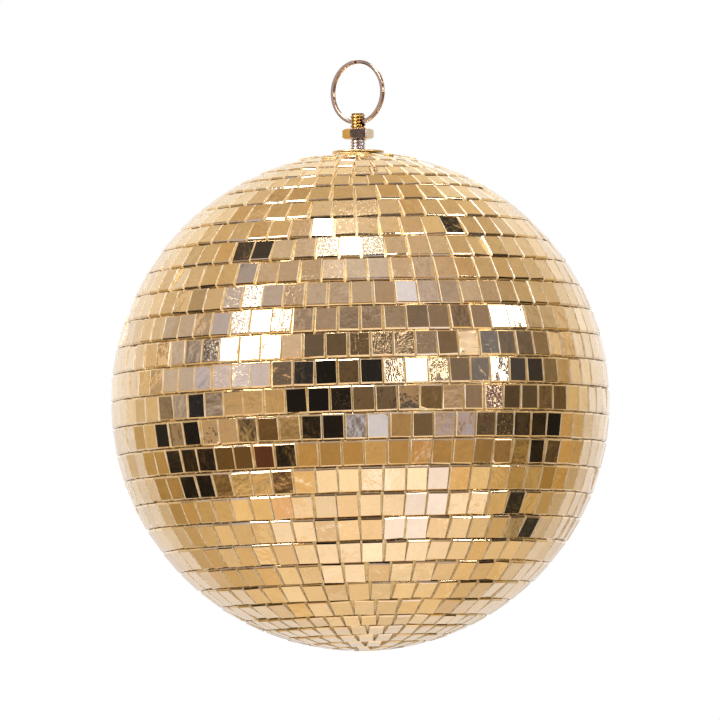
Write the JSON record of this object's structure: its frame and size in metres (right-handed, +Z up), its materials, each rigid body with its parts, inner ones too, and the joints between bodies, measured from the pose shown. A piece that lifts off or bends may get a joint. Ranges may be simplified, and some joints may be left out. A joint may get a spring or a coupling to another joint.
{
  "type": "mirror ball",
  "caption": "Gold mirror ball: a hollow core covered in rows of small flat mirror tiles, hung by a split ring through a cross-drilled threaded stud with a jam nut.",
  "frame": {"origin": "hanging point: the highest point of the split ring's bore, where a hook carries the ball", "axes": "+Z up along the stud; X along the stud's cross hole, in the split ring's plane"},
  "size_m": [0.2002, 0.2002, 0.2374],
  "materials": {
    "mirror_glass": "gold-tinted silvered glass, bright, with fine scuffs and cut edges",
    "gold_core": "moulded plastic painted metallic gold, with smears of clear glue",
    "nickel_plate": "bright nickel-plated steel",
    "gilt_metal": "gold-lacquered metal, satin",
    "white_plastic": "unpainted moulded plastic",
    "zinc_steel": "zinc-plated steel"
  },
  "bodies": {
    "hanger": {"split_ring": "nickel_plate"},
    "ball": {"threaded_stud": "nickel_plate", "top_flange": "gilt_metal", "upper_core_shell": "gold_core", "lower_core_shell": "gold_core", "core_joining_ring": "white_plastic", "backing_plate": "zinc_steel", "flat_washer": "zinc_steel", "spring_washer": "zinc_steel", "inner_nut": "zinc_steel", "top_strip_01": "mirror_glass", "top_strip_02": "mirror_glass", "top_strip_03": "mirror_glass", "top_strip_04": "mirror_glass", "top_strip_05": "mirror_glass", "mirror_strip_01": "mirror_glass", "mirror_strip_02": "mirror_glass", "mirror_strip_03": "mirror_glass", "mirror_strip_04": "mirror_glass", "mirror_strip_05": "mirror_glass", "mirror_strip_06": "mirror_glass", "mirror_strip_07": "mirror_glass", "mirror_strip_08": "mirror_glass", "mirror_strip_09": "mirror_glass", "mirror_strip_10": "mirror_glass", "mirror_strip_11": "mirror_glass", "mirror_strip_12": "mirror_glass", "mirror_strip_13": "mirror_glass", "mirror_strip_14": "mirror_glass", "mirror_strip_15": "mirror_glass", "mirror_strip_16": "mirror_glass", "mirror_strip_17": "mirror_glass", "mirror_strip_18": "mirror_glass", "mirror_strip_19": "mirror_glass", "bottom_strip_01": "mirror_glass", "bottom_strip_02": "mirror_glass", "bottom_strip_03": "mirror_glass", "bottom_strip_04": "mirror_glass", "bottom_strip_05": "mirror_glass", "bottom_cap_tile": "mirror_glass"},
    "lock_nut": {"jam_nut": "nickel_plate"}
  },
  "joints": [
    {"name": "ring_swing", "type": "hinge", "parent": "hanger", "child": "ball", "pos_m": [0, 0, -0.02375], "axis": [1, 0, 0], "range_deg": [-118, 118]},
    {"name": "jam_nut_travel", "type": "slide", "parent": "ball", "child": "lock_nut", "axis": [0, 0, 1], "range_m": [-0.0045, 0.0004]}
  ]
}
